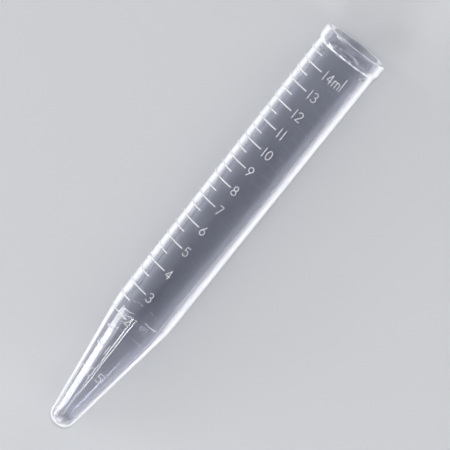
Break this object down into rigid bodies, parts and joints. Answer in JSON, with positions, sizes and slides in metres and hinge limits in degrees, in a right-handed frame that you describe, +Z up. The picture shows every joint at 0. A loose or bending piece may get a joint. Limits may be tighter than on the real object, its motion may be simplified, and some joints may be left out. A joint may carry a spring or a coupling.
{
  "type": "15 ml conical tube",
  "caption": "Clear moulded laboratory tube with a conical lower end, a plain collar round its open mouth and raised volume graduations.",
  "frame": {"origin": "on the surface that the tube lies on, below the centre of its box", "axes": "+X along the tube towards its mouth, which the resting tube raises by 0.63 degrees; +Z up, through the number column; the ribs run over to the +Y side"},
  "size_m": [0.12, 0.0176, 0.0176],
  "materials": {
    "clear_polystyrene": "clear, polished as moulded"
  },
  "bodies": {
    "root": {"tube": "clear_polystyrene"}
  },
  "joints": []
}
